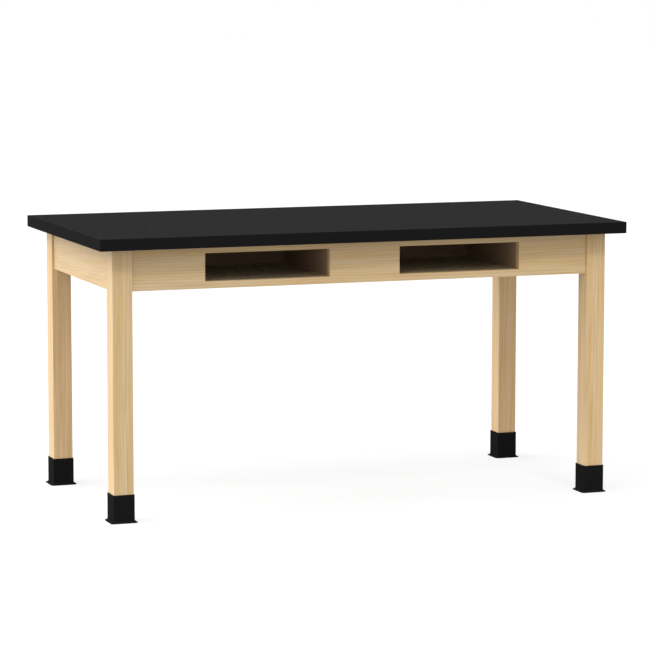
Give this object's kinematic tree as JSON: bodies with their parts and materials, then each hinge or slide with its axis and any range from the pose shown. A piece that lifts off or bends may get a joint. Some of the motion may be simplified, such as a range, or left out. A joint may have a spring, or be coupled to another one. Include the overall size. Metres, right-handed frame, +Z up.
{
  "type": "science lab table",
  "caption": "Hardwood-leg science table with a black laminate top, open book compartments behind the front apron, and rubber boots over levelling glides.",
  "frame": {"origin": "on the floor, under the middle of the table top", "axes": "+X to the right along the table's length, +Y to the back away from the compartment mouths, +Z up"},
  "size_m": [1.524, 0.762, 0.7684],
  "materials": {
    "clear_coated_maple": "clear satin lacquer on pale maple",
    "maple_plywood": "unfilled plywood, thin clear coat",
    "particleboard": "raw particleboard",
    "black_laminate": "fine matte texture",
    "black_edge_band": "satin",
    "black_rubber": "satin moulded",
    "grey_nylon": "moulded",
    "zinc_plated_steel": "bright zinc plate"
  },
  "bodies": {
    "table": {"apron_back": "clear_coated_maple", "apron_front": "clear_coated_maple", "apron_left": "clear_coated_maple", "apron_right": "clear_coated_maple", "compartment_left_back": "maple_plywood", "compartment_left_floor": "maple_plywood", "compartment_left_inner_cleat": "clear_coated_maple", "compartment_left_inner_side": "maple_plywood", "compartment_left_outer_cleat": "clear_coated_maple", "compartment_left_outer_side": "maple_plywood", "compartment_right_back": "maple_plywood", "compartment_right_floor": "maple_plywood", "compartment_right_inner_cleat": "clear_coated_maple", "compartment_right_inner_side": "maple_plywood", "compartment_right_outer_cleat": "clear_coated_maple", "compartment_right_outer_side": "maple_plywood", "corner_bracket_back_left": "zinc_plated_steel", "corner_bracket_back_right": "zinc_plated_steel", "corner_bracket_front_left": "zinc_plated_steel", "corner_bracket_front_right": "zinc_plated_steel", "edge_band_back": "black_edge_band", "edge_band_front": "black_edge_band", "edge_band_left": "black_edge_band", "edge_band_right": "black_edge_band", "foot_insert_back_left": "zinc_plated_steel", "foot_insert_back_right": "zinc_plated_steel", "foot_insert_front_left": "zinc_plated_steel", "foot_insert_front_right": "zinc_plated_steel", "hanger_bolt_back_left_high": "zinc_plated_steel", "hanger_bolt_back_left_low": "zinc_plated_steel", "hanger_bolt_back_right_high": "zinc_plated_steel", "hanger_bolt_back_right_low": "zinc_plated_steel", "hanger_bolt_front_left_high": "zinc_plated_steel", "hanger_bolt_front_left_low": "zinc_plated_steel", "hanger_bolt_front_right_high": "zinc_plated_steel", "hanger_bolt_front_right_low": "zinc_plated_steel", "leg_back_left": "clear_coated_maple", "leg_back_right": "clear_coated_maple", "leg_front_left": "clear_coated_maple", "leg_front_right": "clear_coated_maple", "top_backer": "black_laminate", "top_clip_back_left": "zinc_plated_steel", "top_clip_back_right": "zinc_plated_steel", "top_clip_left": "zinc_plated_steel", "top_clip_right": "zinc_plated_steel", "top_core": "particleboard", "top_laminate": "black_laminate"},
    "front_left_glide": {"glide_pad_front_left": "grey_nylon"},
    "front_left_stud": {"glide_stud_front_left": "zinc_plated_steel"},
    "front_left_boot": {"boot_front_left": "black_rubber"},
    "front_right_glide": {"glide_pad_front_right": "grey_nylon"},
    "front_right_stud": {"glide_stud_front_right": "zinc_plated_steel"},
    "front_right_boot": {"boot_front_right": "black_rubber"},
    "back_left_glide": {"glide_pad_back_left": "grey_nylon"},
    "back_left_stud": {"glide_stud_back_left": "zinc_plated_steel"},
    "back_left_boot": {"boot_back_left": "black_rubber"},
    "back_right_glide": {"glide_pad_back_right": "grey_nylon"},
    "back_right_stud": {"glide_stud_back_right": "zinc_plated_steel"},
    "back_right_boot": {"boot_back_right": "black_rubber"}
  },
  "joints": [
    {"name": "front_left_glide_travel", "type": "slide", "parent": "table", "child": "front_left_glide", "axis": [0, 0, -1], "range_m": [0, 0.01588]},
    {"name": "front_left_stud_turn", "type": "hinge", "parent": "front_left_glide", "child": "front_left_stud", "pos_m": [-0.68977, -0.30877, 0.00655], "axis": [0, 0, -1], "range_deg": [0, 3600]},
    {"name": "front_left_boot_lift", "type": "slide", "parent": "table", "child": "front_left_boot", "axis": [0, 0, 1], "range_m": [0, 0.0508]},
    {"name": "front_right_glide_travel", "type": "slide", "parent": "table", "child": "front_right_glide", "axis": [0, 0, -1], "range_m": [0, 0.01588]},
    {"name": "front_right_stud_turn", "type": "hinge", "parent": "front_right_glide", "child": "front_right_stud", "pos_m": [0.68977, -0.30877, 0.00655], "axis": [0, 0, -1], "range_deg": [0, 3600]},
    {"name": "front_right_boot_lift", "type": "slide", "parent": "table", "child": "front_right_boot", "axis": [0, 0, 1], "range_m": [0, 0.0508]},
    {"name": "back_left_glide_travel", "type": "slide", "parent": "table", "child": "back_left_glide", "axis": [0, 0, -1], "range_m": [0, 0.01588]},
    {"name": "back_left_stud_turn", "type": "hinge", "parent": "back_left_glide", "child": "back_left_stud", "pos_m": [-0.68977, 0.30877, 0.00655], "axis": [0, 0, -1], "range_deg": [0, 3600]},
    {"name": "back_left_boot_lift", "type": "slide", "parent": "table", "child": "back_left_boot", "axis": [0, 0, 1], "range_m": [0, 0.0508]},
    {"name": "back_right_glide_travel", "type": "slide", "parent": "table", "child": "back_right_glide", "axis": [0, 0, -1], "range_m": [0, 0.01588]},
    {"name": "back_right_stud_turn", "type": "hinge", "parent": "back_right_glide", "child": "back_right_stud", "pos_m": [0.68977, 0.30877, 0.00655], "axis": [0, 0, -1], "range_deg": [0, 3600]},
    {"name": "back_right_boot_lift", "type": "slide", "parent": "table", "child": "back_right_boot", "axis": [0, 0, 1], "range_m": [0, 0.0508]}
  ],
  "couplings": [
    {"joint": "front_left_stud_turn", "follows": "front_left_glide_travel", "rad_per_m": 3957.9},
    {"joint": "front_right_stud_turn", "follows": "front_right_glide_travel", "rad_per_m": 3957.9},
    {"joint": "back_left_stud_turn", "follows": "back_left_glide_travel", "rad_per_m": 3957.9},
    {"joint": "back_right_stud_turn", "follows": "back_right_glide_travel", "rad_per_m": 3957.9}
  ]
}
